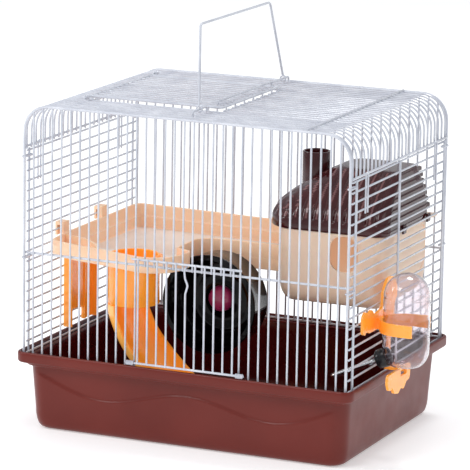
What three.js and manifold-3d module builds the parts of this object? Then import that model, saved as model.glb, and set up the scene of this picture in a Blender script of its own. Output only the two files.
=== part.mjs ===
// A small hamster cage: a plastic tray, a wire cage that lifts off it, and the fittings that hang in it.
// Millimetres, +Z up. The origin is the middle of the tray's underside, -Y is the front, +X the right side.
import * as THREE from "three";
import { mergeVertices } from "three/addons/utils/BufferGeometryUtils.js";
import Module from "manifold-3d";

const wasm = await Module();
wasm.setup();

// ---------- driving dimensions ----------
const HALF_X = 160; // wire cage, centre to the side panels' wires
const HALF_Y = 120; // wire cage, centre to the front and back panels' wires
const RIM_Z = 74; // top of the tray's lip
const LEDGE_Z = 70; // ledge inside the lip, on which the wire cage stands
const ROOF_Z = 304; // middle of the roof wires
const ROOF_BEND = 24; // radius of the roof's rounded long edges
const WIRE = 2; // wire thickness
const GAP = 0.3; // air between neighbouring pieces
const FRONT_GAPS = 34; // gaps between upright wires, front and back
const FRONT_MID_Z = 167; // the front panel's cross wire
const BACK_MID_Z = 158; // the back panel's cross wire
const FOOT_Z = 71.5; // the wire that runs round the cage on the ledge
const SIDE_LOW_Z = 82.2; // lowest of the side panels' level wires
const SIDE_HIGH_Z = 261.2; // highest of them
const SIDE_WIRES = 20;
const SIDE_UPRIGHTS = [-108, -3, 112]; // where the side panels' upright wires stand
const HOOPS = 26; // roof wires that run from side to side
const HOOP_PITCH = 9.25;
const HOOP_END_Z = 265; // the wire that ties the hoops' lower ends
const ROOF_LEFT_X = -120; // long roof wire, also the roof door's hinge side
const ROOF_RIGHT_X = 117; // the other long roof wire
const DOOR_EDGE_X = 11; // short roof wire along the roof door's free side
const ROOF_DOOR = { z: 307.7, halfY: 66, right: 12 };
const DOOR_WIRES = [12, 23]; // the front panel's wires on each side of the front door
const FRONT_DOOR = { y: -124.3, hingeZ: 76.8, topZ: 173, halfWidth: 47, railHalf: 54 };
const HANDLE = { x: 0, z: 309.2, frontY: -89, backY: 103, height: 75, inward: 17, lean: 6 };
const PLATFORM = { bottom: 157.5, floor: 160, rim: 172.5, wall: 2.4 };
const BASIN = { bottom: 147.5, floor: 150 }; // the platform's deep part, behind the chute
const LEG = { y0: -42, y1: 15, foot: 80.5, archY: -19, archHalf: 14.5, archSide: 12 };
const CHUTE = { x: -74, y: -66, r: 24, wall: 2.2, tubeEnd: 118 };
const WHEEL = { x: -4, z: 121, front: -54, back: -19, drum: 44.8, flange: 46.5, wall: 2 };
const HOUSE = { x0: 46, x1: 155.5, y0: -22, y1: 100, bottom: 124, rim: 193, wall: 2.2 };
const HOUSE_ROOF = { x0: 34.5, x1: 156.3, y0: -22.8, y1: 100.8, skirt: 9, top: 246, wall: 2.2 };
const HOUSE_CROWN = { x0: 87, x1: 151.3, y0: 23.2, y1: 74.8 }; // the roof's flat top
const CHIMNEY = { x: 62, y: 40, r: 13, wall: 2.2, bottom: 205, top: 256 };
const BOTTLE = { x: 192.5, y: -58, r: 21.2, bottom: 86.5, top: 173 };
const SPOUT = { x: 169.5, z: 91.4, tilt: 25 }; // a point on the drinking tube's line, and its slope in degrees
const BAND = { low: 119, high: 130, inner: 21.9, outer: 24.3, tipX: 206.5 };

const CORNER_STEPS = 4; // straight facets in each quarter turn of an outline
const ROUND = 24; // facets round a small tube or shaft

// ---------- materials ----------
const material = (color, roughness, metalness = 0) =>
  new THREE.MeshStandardMaterial({ color, roughness, metalness });
const whiteWire = () => material(0xe8eaf4, 0.35, 0.1);
const burgundy = () => material(0x74302b, 0.35);
const peach = () => material(0xe9c09b, 0.45);
const orange = () => material(0xff9a3c, 0.35);
const darkBrown = () => material(0x3a1416, 0.3);
const smokedBlack = () => material(0x140608, 0.2);
const magenta = () => material(0xb03064, 0.35);
const steel = () => material(0xc9cbd0, 0.2, 1);
const clear = () => material(0xe9e4e8, 0.08);

// ---------- solids ----------
const cage = new THREE.Group();

// A geometry as a manifold solid, with its faces turned outwards.
function solid(geometry) {
  const bare = new THREE.BufferGeometry().setAttribute("position", geometry.getAttribute("position"));
  bare.setIndex(geometry.index);
  const merged = mergeVertices(bare, 1e-3);
  const triVerts = new Uint32Array(merged.index.array);
  const vertProperties = merged.attributes.position.array;
  const build = () => new wasm.Manifold(new wasm.Mesh({ numProp: 3, vertProperties, triVerts }));
  const made = build();
  if (made.volume() > 0) return made;
  for (let i = 0; i < triVerts.length; i += 3)
    [triVerts[i + 1], triVerts[i + 2]] = [triVerts[i + 2], triVerts[i + 1]];
  return build();
}

function addMesh(name, shape, surface) {
  const mesh = shape.getMesh();
  const geometry = new THREE.BufferGeometry();
  geometry.setAttribute("position", new THREE.BufferAttribute(mesh.vertProperties, 3));
  geometry.setIndex(new THREE.BufferAttribute(mesh.triVerts, 1));
  geometry.computeVertexNormals();
  const part = new THREE.Mesh(geometry, surface);
  part.name = name;
  cage.add(part);
}

const joined = (shapes) => shapes.reduce((whole, shape) => whole.add(shape));

// A block between two corners.
function block(x0, x1, y0, y1, z0, z1) {
  const box = new THREE.BoxGeometry(x1 - x0, y1 - y0, z1 - z0);
  return solid(box.translate((x0 + x1) / 2, (y0 + y1) / 2, (z0 + z1) / 2));
}

// A flat shape given a thickness, then turned so that its plane is XY, XZ or YZ. Its first face is at "from".
function plate(shape, plane, from, to, curveSegments = 8) {
  const flat = new THREE.ExtrudeGeometry(shape, { depth: to - from, bevelEnabled: false, curveSegments });
  if (plane === "xy") flat.translate(0, 0, from);
  if (plane === "xz") flat.rotateX(Math.PI / 2).translate(0, to, 0);
  if (plane === "yz") flat.rotateY(Math.PI / 2).rotateX(Math.PI / 2).translate(from, 0, 0);
  return solid(flat);
}

const ring = (points) => new THREE.Path(points.map(([a, b]) => new THREE.Vector2(a, b)));
const outline = (points) => new THREE.Shape(points.map(([a, b]) => new THREE.Vector2(a, b)));
const rectangle = (a0, a1, b0, b1) => [[a0, b0], [a1, b0], [a1, b1], [a0, b1]];

// A round body about a line: "profile" lists [radius, distance along the line] from the axis and back to it.
function turned(profile, origin, direction, facets = ROUND) {
  const points = profile.map(([r, along]) => new THREE.Vector2(r, along));
  const geometry = new THREE.LatheGeometry(points, facets);
  const up = new THREE.Vector3(0, 1, 0);
  geometry.applyQuaternion(new THREE.Quaternion().setFromUnitVectors(up, direction.clone().normalize()));
  return solid(geometry.translate(origin.x, origin.y, origin.z));
}
const alongY = new THREE.Vector3(0, 1, 0);
const alongZ = new THREE.Vector3(0, 0, 1);
const at = (x, y, z) => new THREE.Vector3(x, y, z);

// A rectangle's outline with its own radius at each corner, in the order front-right, back-right,
// back-left, front-left, pulled in by "inset".
function rounded(x0, x1, y0, y1, radii, inset = 0) {
  const corners = [[x1, y0, -90], [x1, y1, 0], [x0, y1, 90], [x0, y0, 180]];
  const points = [];
  corners.forEach(([x, y, start], index) => {
    const r = Math.max(radii[index] - inset, 1);
    const cx = x + (x === x1 ? -1 : 1) * (r + inset);
    const cy = y + (y === y1 ? -1 : 1) * (r + inset);
    for (let step = 0; step <= CORNER_STEPS; step++) {
      const angle = THREE.MathUtils.degToRad(start + (90 * step) / CORNER_STEPS);
      points.push([cx + r * Math.cos(angle), cy + r * Math.sin(angle)]);
    }
  });
  return points;
}

// A body through level outlines of equal length, closed by a point at each end.
function loft(levels) {
  const count = levels[0].points.length;
  const middle = (points) => {
    const sum = points.reduce(([a, b], [x, y]) => [a + x / count, b + y / count], [0, 0]);
    return points.map(() => sum);
  };
  const first = levels[0];
  const last = levels[levels.length - 1];
  const rings = [
    { points: middle(first.points), z: first.z },
    ...levels,
    { points: middle(last.points), z: last.z },
  ];
  const profile = rings.map((level, index) => new THREE.Vector2(1, index));
  const geometry = new THREE.LatheGeometry(profile, count);
  const place = geometry.getAttribute("position");
  for (let segment = 0; segment <= count; segment++)
    rings.forEach((level, index) => {
      const [x, y] = level.points[segment % count];
      place.setXYZ(segment * rings.length + index, x, y, level.z);
    });
  return solid(geometry);
}

// ---------- tray ----------
function makeTray() {
  const level = (halfX, halfY, r, z) => ({ points: rounded(-halfX, halfX, -halfY, halfY, [r, r, r, r]), z });
  const tray = loft([
    level(149, 108, 12, 0),
    level(154, 112.5, 14, 3.5),
    level(156, 114.2, 15, 14),
    level(157.5, 115.7, 16, 44),
    level(158.5, 116.9, 16, 61),
    level(162, 121, 14, 61),
    level(163, 122, 13, 64),
    level(167, 126, 10, 64.5),
    level(167, 126, 10, RIM_Z),
    level(163.5, 122.5, 5, RIM_Z),
    level(163.5, 122.5, 5, LEDGE_Z),
    level(156.2, 114.7, 13, LEDGE_Z),
    level(155.8, 114.2, 13.5, 62),
    level(155, 113.2, 13.5, 44),
    level(153.4, 111.6, 12.5, 14),
    level(151.4, 109.8, 11.5, 6.2),
    level(147.5, 106.5, 10, 2.6),
  ]);
  addMesh("base_tray", tray, burgundy());
}

// ---------- wire panels ----------
const uprightX = (index) => -HALF_X + (2 * HALF_X * index) / FRONT_GAPS;

// Height of the inner edge of the rounded top wire at a place along the panel.
function archZ(x) {
  const beyond = Math.abs(x) - (HALF_X - ROOF_BEND);
  const inner = ROOF_BEND - WIRE / 2;
  return ROOF_Z - ROOF_BEND + (beyond > 0 ? Math.sqrt(Math.max(inner * inner - beyond * beyond, 0)) : inner);
}

// The outline of a panel that closes an end of the cage: straight sides and rounded top corners.
function archOutline(halfX, top, bend, foot) {
  const shape = new THREE.Shape();
  shape.moveTo(-halfX, foot);
  shape.lineTo(halfX, foot);
  shape.lineTo(halfX, top - bend);
  shape.absarc(halfX - bend, top - bend, bend, 0, Math.PI / 2, false);
  shape.lineTo(-halfX + bend, top);
  shape.absarc(-halfX + bend, top - bend, bend, Math.PI / 2, Math.PI, false);
  return shape;
}

// The front or back panel: upright wires, a cross wire, and the frame round them. "door" holds the numbers of
// the two wires beside a doorway.
function endPanel(y, midZ, door) {
  const half = WIRE / 2;
  const bend = ROOF_BEND;
  const outside = archOutline(HALF_X + half, ROOF_Z + half, bend + half, FOOT_Z - half);
  const inside = archOutline(HALF_X - half, ROOF_Z - half, bend - half, FOOT_Z + half);
  const frame = plate(outside, "xz", y - half, y + half, 5).subtract(plate(inside, "xz", y - 5, y + 5, 5));
  const cross = block(-HALF_X, HALF_X, y - half, y + half, midZ - half, midZ + half);
  const uprights = [];
  for (let wire = 1; wire < FRONT_GAPS; wire++) {
    const x = uprightX(wire);
    const foot = door && wire > door[0] && wire < door[1] ? midZ : FOOT_Z;
    uprights.push(block(x - half, x + half, y - half, y + half, foot, archZ(x) + half));
  }
  return joined([frame, cross, ...uprights]);
}

const sideWireZ = (index) => SIDE_LOW_Z + ((SIDE_HIGH_Z - SIDE_LOW_Z) * index) / (SIDE_WIRES - 1);

// A side panel: level wires on three uprights.
function sidePanel(x) {
  const half = WIRE / 2;
  const [front, , back] = SIDE_UPRIGHTS;
  const wire = (y0, y1, z0, z1) => block(x - half, x + half, y0 - half, y1 + half, z0 - half, z1 + half);
  const wires = SIDE_UPRIGHTS.map((y) => wire(y, y, FOOT_Z, SIDE_HIGH_Z));
  wires.push(wire(front, back, FOOT_Z, FOOT_Z));
  for (let row = 0; row < SIDE_WIRES; row++) wires.push(wire(front, back, sideWireZ(row), sideWireZ(row)));
  return joined(wires);
}

function makeWalls() {
  addMesh("front_panel", endPanel(-HALF_Y, FRONT_MID_Z, DOOR_WIRES), whiteWire());
  addMesh("back_panel", endPanel(HALF_Y, BACK_MID_Z), whiteWire());
  addMesh("left_panel", sidePanel(-HALF_X), whiteWire());
  addMesh("right_panel", sidePanel(HALF_X), whiteWire());
}

// Small wire rings that tie an end panel's outer upright to the side panel's first upright.
function makeCornerRings() {
  const low = (sideWireZ(8) + sideWireZ(9)) / 2;
  const high = (sideWireZ(18) + sideWireZ(19)) / 2;
  const [frontUpright, , backUpright] = SIDE_UPRIGHTS;
  const reach = { front: [-HALF_Y, frontUpright], back: [backUpright, HALF_Y] };
  const clearance = WIRE / 2 + 0.6;
  const bar = clearance + 1;
  for (const [end, [y0, y1]] of Object.entries(reach))
    for (const [side, x] of [["left", -HALF_X], ["right", HALF_X]])
      for (const [level, z] of [["low", low], ["high", high]]) {
        const shape = outline(rectangle(x - bar, x + bar, y0 - bar, y1 + bar));
        shape.holes.push(ring(rectangle(x - clearance, x + clearance, y0 - clearance, y1 + clearance)));
        addMesh(`corner_ring_${end}_${side}_${level}`, plate(shape, "xy", z - 1, z + 1), whiteWire());
      }
}

// ---------- roof ----------
const hoopY = (index) => HOOP_PITCH * (index - (HOOPS - 1) / 2);
const overDoor = (index) => Math.abs(hoopY(index)) < ROOF_DOOR.halfY;

// One hoop: a wire across the roof that bends down at both ends. Over the roof door it stops at the frame.
function hoop(index) {
  const half = WIRE / 2;
  const bends = 3;
  const shape = archOutline(HALF_X + half, ROOF_Z + half, ROOF_BEND + half, HOOP_END_Z);
  const inside = archOutline(HALF_X - half, ROOF_Z - half, ROOF_BEND - half, HOOP_END_Z - 1);
  const y = hoopY(index);
  const whole = plate(shape, "xz", y - half, y + half, bends);
  const wire = whole.subtract(plate(inside, "xz", y - half - 1, y + half + 1, bends));
  if (!overDoor(index)) return wire;
  return wire.subtract(block(ROOF_LEFT_X, DOOR_EDGE_X, y - 5, y + 5, ROOF_Z - 5, ROOF_Z + 5));
}

function makeRoof() {
  const half = WIRE / 2;
  const end = hoopY(HOOPS - 1) + half;
  const long = (x, z, reach) => block(x - half, x + half, -reach, reach, z - half, z + half);
  const wires = Array.from({ length: HOOPS }, (unused, index) => hoop(index));
  for (const x of [-HALF_X, HALF_X]) wires.push(long(x, HOOP_END_Z, end));
  for (const x of [ROOF_LEFT_X, ROOF_RIGHT_X]) wires.push(long(x, ROOF_Z, end));
  wires.push(long(DOOR_EDGE_X, ROOF_Z, ROOF_DOOR.halfY + HOOP_PITCH));
  addMesh("roof_panel", joined(wires), whiteWire());
}

// Hairpin clips that hang from the roof's lower wires and hold the side panels in.
function makeRoofClips() {
  for (const [side, x] of [["left", -HALF_X - 2.3], ["right", HALF_X + 2.3]])
    for (const [end, y] of [["front", -86], ["back", 86]]) {
      const shape = outline(rectangle(y - 3.4, y + 3.4, 229, 267));
      shape.holes.push(ring(rectangle(y - 1.8, y + 1.8, 230.6, 265.4)));
      addMesh(`roof_clip_${side}_${end}`, plate(shape, "yz", x - 0.8, x + 0.8), whiteWire());
    }
}

// A short tube that a hinge wire turns in, lying along X or Y.
function hingeCoil(origin, direction, length) {
  const profile = [[1.55, 0], [2.4, 0], [2.4, length], [1.55, length], [1.55, 0]];
  return turned(profile, origin, direction, 16);
}

// ---------- roof door ----------
function makeRoofDoor() {
  const half = WIRE / 2;
  const { z, halfY, right } = ROOF_DOOR;
  const wire = (x0, x1, y0, y1) => block(x0 - half, x1 + half, y0 - half, y1 + half, z - half, z + half);
  const wires = [wire(ROOF_LEFT_X, ROOF_LEFT_X, -78.2, 78.2), wire(right, right, -halfY, halfY)];
  for (const y of [-halfY, halfY]) wires.push(wire(ROOF_LEFT_X, right, y, y));
  for (let index = 0; index < HOOPS; index++) {
    const y = hoopY(index);
    if (Math.abs(y) < halfY - 2 * WIRE) wires.push(wire(ROOF_LEFT_X, right, y, y));
  }
  addMesh("roof_door", joined(wires), whiteWire());
  for (const [end, y] of [["front", -77.6], ["back", 71.2]])
    addMesh(`roof_door_hinge_${end}`, hingeCoil(at(ROOF_LEFT_X, y, z), alongY, 6.4), whiteWire());
  const latch = [
    block(3, 5, -58, 66, z + 3, z + 5),
    block(3, 5, -58, -56, z + half + GAP, z + 5),
    block(3, 5, 64, 66, z + half + GAP, z + 5),
  ];
  addMesh("roof_door_latch", joined(latch), whiteWire());
}

// ---------- front door ----------
function makeFrontDoor() {
  const half = WIRE / 2;
  const { y, hingeZ, topZ, halfWidth, railHalf } = FRONT_DOOR;
  const middle = (uprightX(DOOR_WIRES[0]) + uprightX(DOOR_WIRES[1])) / 2;
  const wire = (x0, x1, z0, z1) => block(x0 - half, x1 + half, y - half, y + half, z0 - half, z1 + half);
  const rail = wire(middle - railHalf, middle + railHalf, topZ, topZ);
  const wires = [rail, wire(middle - 58, middle + 58, hingeZ, hingeZ)];
  const gaps = 10;
  const latchZ = 138;
  for (let index = 0; index <= gaps; index++) {
    const x = middle - halfWidth + (2 * halfWidth * index) / gaps;
    wires.push(wire(x, x, hingeZ, index === gaps / 2 ? latchZ : topZ));
  }
  addMesh("front_door", joined(wires), whiteWire());
  for (const [side, x] of [["left", middle - 58.2], ["right", middle + 50.2]])
    addMesh(`front_door_hinge_${side}`, hingeCoil(at(x, y, hingeZ), at(1, 0, 0), 8), whiteWire());
  // The latch carries the middle wire on upwards, bows forwards for a finger, and tips over the cross wire.
  const finger = (y0, y1, z0, z1) => block(middle - half, middle + half, y0, y1, z0, z1);
  const latch = [
    finger(y - half, y + half, latchZ + half + GAP, 150),
    finger(y - half - 3, y + half, 148, 150),
    finger(y - half - 3, y - half - 1, 148, 171.2),
    finger(y - half - 3, -119, 169.2, 171.2),
  ];
  addMesh("front_door_latch", joined(latch), whiteWire());
}

// ---------- carry handle ----------
// A wire that loops round its two pivot wires and rises to a bar, leaning a little to the left.
function makeHandle() {
  const { x, z, frontY, backY, height, inward, lean } = HANDLE;
  const half = 1.2;
  const eye = (y) => {
    const shape = new THREE.Shape().absarc(x, z, 3.5, 0, 2 * Math.PI);
    shape.holes.push(new THREE.Path().absarc(x, z, 1.9, 0, 2 * Math.PI));
    return plate(shape, "xz", y - half, y + half, 16);
  };
  const top = z + height;
  const bow = outline([
    [frontY - half, z + 3], [frontY + inward - half, top + half], [backY - inward + half, top + half],
    [backY + half, z + 3], [backY - half, z + 3], [backY - inward - half, top - half],
    [frontY + inward + half, top - half], [frontY + half, z + 3],
  ]);
  const straight = plate(bow, "yz", x - half, x + half);
  const upright = straight.translate([-x, 0, -z]).rotate([0, -lean, 0]).translate([x, 0, z]);
  addMesh("carry_handle", joined([upright, eye(frontY), eye(backY)]), whiteWire());
}

// The two raised wires on the roof that the handle turns on.
function makeHandlePivots() {
  const { x, z } = HANDLE;
  const half = WIRE / 2;
  const foot = ROOF_Z + half + GAP;
  for (const [end, y0, y1] of [["front", -104, -72], ["back", 72, 117]])
    addMesh(
      `handle_pivot_${end}`,
      joined([
        block(x - half, x + half, y0, y1, z - half, z + half),
        block(x - half, x + half, y0, y0 + WIRE, foot, z + half),
        block(x - half, x + half, y1 - WIRE, y1, foot, z + half),
      ]),
      whiteWire(),
    );
}

// ---------- house ----------
const HOUSE_RADII = [14, 20, 24, 20];
const ROOF_RADII = [14, 20, 24, 30];
const houseOutline = (inset) => rounded(HOUSE.x0, HOUSE.x1, HOUSE.y0, HOUSE.y1, HOUSE_RADII, inset);

function makeHouse() {
  const { bottom, rim, wall } = HOUSE;
  const bucket = loft([
    { points: houseOutline(13), z: bottom },
    { points: houseOutline(4), z: bottom + 5 },
    { points: houseOutline(0), z: bottom + 16 },
    { points: houseOutline(0), z: rim },
    { points: houseOutline(wall), z: rim },
    { points: houseOutline(wall), z: bottom + 17 },
    { points: houseOutline(wall + 4), z: bottom + 7 },
    { points: houseOutline(wall + 12), z: bottom + 2.6 },
  ]);
  const oval = rounded(102, 130, 158, 191, [12, 12, 12, 12]);
  const window = plate(outline(oval), "xz", HOUSE.y0 - 5, HOUSE.y0 + 15);
  const doorway = block(HOUSE.x0 - 5, HOUSE.x0 + 25, 30, 72, BASIN.floor + 2, rim + 1);
  const ledge = block(138, 156.5, 100 - wall, 112, rim - 2.4, rim);
  addMesh("house_body", bucket.subtract(window).subtract(doorway).add(ledge), peach());
}

// How far in and how far up the roof has come, each as a share of the whole, from its skirt to its crown.
const ROOF_PROFILE = [[0, 0], [0.02, 0.1], [0.08, 0.24], [0.2, 0.4], [0.42, 0.6], [0.7, 0.81], [0.9, 0.95], [1, 1]];

// The roof stays upright on the right and slopes in on the other sides.
function roofOutline(share, inset) {
  const between = (side) => HOUSE_ROOF[side] + (HOUSE_CROWN[side] - HOUSE_ROOF[side]) * share;
  const radii = ROOF_RADII.map((r) => r * (1 - 0.45 * share));
  return rounded(between("x0"), between("x1"), between("y0"), between("y1"), radii, inset);
}

function roofLevels(inset, base, skirt, top) {
  const slopes = ROOF_PROFILE.map(([share, climb]) => ({
    points: roofOutline(share, inset),
    z: skirt + (top - skirt) * climb,
  }));
  return [{ points: roofOutline(0, inset), z: base }, ...slopes];
}

function makeHouseRoof() {
  const base = HOUSE.rim + GAP;
  const skirt = base + HOUSE_ROOF.skirt;
  const outside = roofLevels(0, base, skirt, HOUSE_ROOF.top);
  const inside = roofLevels(HOUSE_ROOF.wall, base, skirt, HOUSE_ROOF.top - HOUSE_ROOF.wall);
  addMesh("house_roof", loft([...outside.reverse(), ...inside]), darkBrown());
  const { x, y, r, wall, bottom, top } = CHIMNEY;
  const tube = [[r - wall, bottom], [r, bottom], [r, top], [r - wall, top], [r - wall, bottom]];
  const divider = block(x - 1, x + 1, y - r + 1, y + r - 1, bottom, top - 3);
  const grown = loft(roofLevels(-GAP, base, skirt + GAP, HOUSE_ROOF.top + GAP));
  const stack = turned(tube, at(x, y, 0), alongZ).add(divider).subtract(grown);
  addMesh("chimney", stack, darkBrown());
  for (const [end, clipY] of [["front", 22], ["back", 84]])
    addMesh(`house_clip_${end}`, block(156.8, 158.6, clipY - 4, clipY + 4, 190, 198), darkBrown());
}

// ---------- platform ----------
// The platform's outline: a cut-off corner at the front left, a bay for the wheel, and a bridge that runs on
// to the house.
const PLATFORM_OUTLINE = [
  [-156, -46], [-153, -78], [-145, -84], [-120, -93], [-98, -97], [-84, -101], [-62, -107], [-48, -111],
  [-36, -109], [-24, -101], [-17, -86], [-16, -70], [-19, -62], [-34, -57], [-34, -14], [-25, -7], [-15, -4],
  [60, -4], [60, 100], [-150, 112], [-156, 106],
];
// Its deep part, inside the outline of the rim.
const BASIN_OUTLINE = [
  [-154.4, -44], [-45, -44], [-45, -18], [-27, -4], [60, -4], [60, 98.4], [-149.4, 110.4], [-154.4, 105],
];
// A low wall that closes off the front left corner as a dish.
const DISH_WALL = [[-155, -49], [-138, -55], [-125, -61], [-110, -76], [-103, -86], [-98, -96]];

// The same outline pulled in by the wall's thickness, corner by corner.
function pulledIn(points, distance) {
  const count = points.length;
  return points.map(([x, y], index) => {
    const before = points[(index + count - 1) % count];
    const after = points[(index + 1) % count];
    const inX = new THREE.Vector2(x - before[0], y - before[1]).normalize();
    const outX = new THREE.Vector2(after[0] - x, after[1] - y).normalize();
    const bisector = new THREE.Vector2(-inX.y - outX.y, inX.x + outX.x).normalize();
    const reach = distance / Math.max(bisector.dot(new THREE.Vector2(-inX.y, inX.x)), 0.3);
    return [x + bisector.x * reach, y + bisector.y * reach];
  });
}

// A hook that leaves the floor tray between two of the left panel's wires and drops behind one.
function platformHook(y) {
  const x = -HALF_X;
  return joined([
    block(x + 1.6, x + 5, y - 6, y + 6, PLATFORM.rim - 4, 182.6),
    block(x - 3.4, x + 5, y - 6, y + 6, 179.6, 182.6),
    block(x - 3.4, x - 1.6, y - 6, y + 6, 170, 182.6),
  ]);
}

function makePlatform() {
  const { bottom, floor, rim, wall } = PLATFORM;
  const between = (points, low, high) => plate(outline(points), "xy", low, high);
  const shallow = between(PLATFORM_OUTLINE, bottom, rim);
  const basin = between(BASIN_OUTLINE, BASIN.bottom, bottom + 1);
  const inside = between(pulledIn(PLATFORM_OUTLINE, wall), floor, rim + 1);
  const well = between(pulledIn(BASIN_OUTLINE, wall), BASIN.floor, floor + 1);
  const thick = DISH_WALL.map(([x, y]) => [x + 1.4, y + 1.4]).reverse();
  const dishWall = between([...DISH_WALL, ...thick], floor - 1, rim - 1);
  const hole = turned([[0, bottom - 20], [CHUTE.r + GAP, bottom - 20], [CHUTE.r + GAP, rim], [0, rim]],
    at(CHUTE.x, CHUTE.y, 0), alongZ, 32);
  const houseRoom = plate(outline(houseOutline(-0.6)), "xy", 100, 200);
  const tray = shallow.add(basin).subtract(inside).subtract(well).add(dishWall).subtract(hole).subtract(houseRoom);
  addMesh("platform", joined([tray, platformHook(-44), platformHook(38)]), peach());
}

// A leg under the platform's left side, with an arch cut through its foot. It stands on a level wire.
function makeLeg() {
  const { y0, y1, foot, archY, archHalf, archSide } = LEG;
  const top = BASIN.bottom - GAP;
  const web = block(-158.2, -155.6, y0, y1, foot, top);
  const flanges = [block(-158.2, -150, y0, y0 + 2.4, foot, top), block(-158.2, -150, y1 - 2.4, y1, foot, top)];
  const arch = new THREE.Shape();
  arch.moveTo(archY - archHalf, foot - 1);
  arch.lineTo(archY + archHalf, foot - 1);
  arch.lineTo(archY + archHalf, foot + archSide);
  arch.absarc(archY, foot + archSide, archHalf, 0, Math.PI, false);
  const opening = plate(arch, "yz", -160, -154, 12);
  addMesh("platform_leg", joined([web, ...flanges]).subtract(opening), orange());
}

// ---------- chute ----------
function makeChute() {
  const { x, y, r, wall, tubeEnd } = CHUTE;
  const collar = [
    [r - wall, tubeEnd + GAP], [r, tubeEnd + GAP], [r, PLATFORM.floor + GAP], [r + 4, PLATFORM.floor + GAP],
    [r + 4, PLATFORM.floor + 2], [r, PLATFORM.floor + 2], [r, PLATFORM.floor + 4.3],
    [r - wall, PLATFORM.floor + 4.3], [r - wall, tubeEnd + GAP],
  ];
  addMesh("chute_collar", turned(collar, at(x, y, 0), alongZ, 28), orange());
  // The slide is an open channel that drops from the collar and sweeps to the right. Its front wall is the lower one.
  const knots = [[0, tubeEnd], [0, 112], [8, 90], [26, 67], [48, 46], [66, 28]];
  const path = new THREE.CatmullRomCurve3(knots.map(([along, z]) => at(x + along, y, z)));
  const section = new THREE.Shape();
  const [from, to] = [THREE.MathUtils.degToRad(25), THREE.MathUtils.degToRad(195)];
  section.absarc(0, 0, r, from, to, false);
  section.absarc(0, 0, r - wall, to, from, true);
  const slide = new THREE.ExtrudeGeometry(section, { steps: 11, extrudePath: path, curveSegments: 8 });
  addMesh("chute_slide", solid(slide), orange());
}

// ---------- wheel ----------
function makeWheel() {
  const { x, z, front, back, drum, flange, wall } = WHEEL;
  const bore = 4.4;
  const profile = [
    [bore, 0], [drum, 0], [drum, back - front - 3], [flange, back - front - 3], [flange, back - front],
    [drum - wall - 2, back - front], [drum - wall, back - front - 3], [drum - wall, wall + 0.5], [bore, wall + 0.5],
    [bore, 0],
  ];
  const towardsFront = at(0, -1, 0);
  addMesh("wheel_drum", turned(profile, at(x, back, z), towardsFront, 32), smokedBlack());
  const cap = [[0, 0], [12.5, 0], [12.5, 4], [10.5, 7.5], [6, 9.5], [0, 10]];
  addMesh("wheel_hub", turned(cap, at(x, back - wall - 0.5 - GAP, z), towardsFront), magenta());
  const pin = [[0, 0], [3.6, 0], [3.6, 12], [0, 12]];
  addMesh("wheel_axle", turned(pin, at(x, -9, z), towardsFront, 16), smokedBlack());
  const arm = outline([[x - 9, z - 10], [x + 9, z - 10], [x + 10.5, 160], [x - 10.5, 160]]);
  addMesh("wheel_hanger", plate(arm, "xz", -8.6, -4 - GAP), smokedBlack());
}

// ---------- water bottle ----------
function makeBottle() {
  const tilt = THREE.MathUtils.degToRad(SPOUT.tilt);
  const outwards = at(Math.cos(tilt), 0, Math.sin(tilt));
  const spot = (along) => at(SPOUT.x, BOTTLE.y, SPOUT.z).addScaledVector(outwards, along);
  const { x, y, r, bottom, top } = BOTTLE;
  const body = [[0, bottom], [8, bottom]];
  for (let step = 1; step <= 4; step++) {
    const angle = (step / 4) * (Math.PI / 2);
    body.push([8 + (r - 8) * Math.sin(angle), bottom + 17 * (1 - Math.cos(angle))]);
  }
  for (let step = 0; step <= 5; step++) {
    const angle = (step / 5) * (Math.PI / 2);
    body.push([r * Math.cos(angle), top - r * (1 - Math.sin(angle))]);
  }
  const cap = (grow) => {
    const radius = 9 + grow;
    const profile = [[0, -4.5], [radius - 1, -4.5], [radius, -3.5], [radius, 8 + grow], [0, 8 + grow]];
    return turned(profile, spot(0), outwards, 24);
  };
  addMesh("bottle", turned(body, at(x, y, 0), alongZ, 24).subtract(cap(GAP)), clear());
  addMesh("bottle_cap", cap(0), smokedBlack());
  const tube = [[0, -52], [2.5, -52], [2.5, -4.5 - GAP], [0, -4.5 - GAP]];
  addMesh("drinking_tube", turned(tube, spot(0), outwards, 16), steel());
}

function makeBottleBracket() {
  const { x, y } = BOTTLE;
  const { low, high, inner, outer, tipX } = BAND;
  const [plateX0, plateX1] = [163.5, 166];
  const tongue = outline([
    [y + 8, low], [y + 44, low], [y + 44, 154], [y + 40, 163], [y + 33, 168], [y + 19, 168], [y + 12, 163], [y + 8, 154],
  ]);
  // The clip: a half ring behind the bottle with two straight arms.
  const clip = new THREE.Shape();
  clip.moveTo(tipX, y - outer);
  clip.lineTo(tipX, y - inner);
  clip.absarc(x, y, inner, -Math.PI / 2, Math.PI / 2, true);
  clip.lineTo(tipX, y + inner);
  clip.lineTo(tipX, y + outer);
  clip.absarc(x, y, outer, Math.PI / 2, -Math.PI / 2, false);
  const leaf = outline([
    [y - 26, 77], [y - 26, 68], [y - 22, 60], [y - 12, 57], [y, 54], [y + 12, 57], [y + 22, 60], [y + 28, 68],
    [y + 30, 77],
  ]);
  leaf.holes.push(ring(rectangle(y + 6, y + 20, 69, 74)));
  const pieces = [
    block(plateX0, plateX1, y - 38, y + 38, low, high + 12),
    plate(tongue, "yz", plateX0, plateX1),
    block(plateX0, x - inner - 1, y - 5, y + 5, low, high),
    plate(clip, "xy", low, high, 10),
    block(plateX0, plateX1, y + 22.5, y + 30, 76, low + 1),
    block(plateX0, 186.5, y + 22.5, y + 30, 76, 78.4),
    plate(leaf, "yz", 184, 186.5),
  ];
  addMesh("bottle_bracket", joined(pieces), orange());
}

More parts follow.
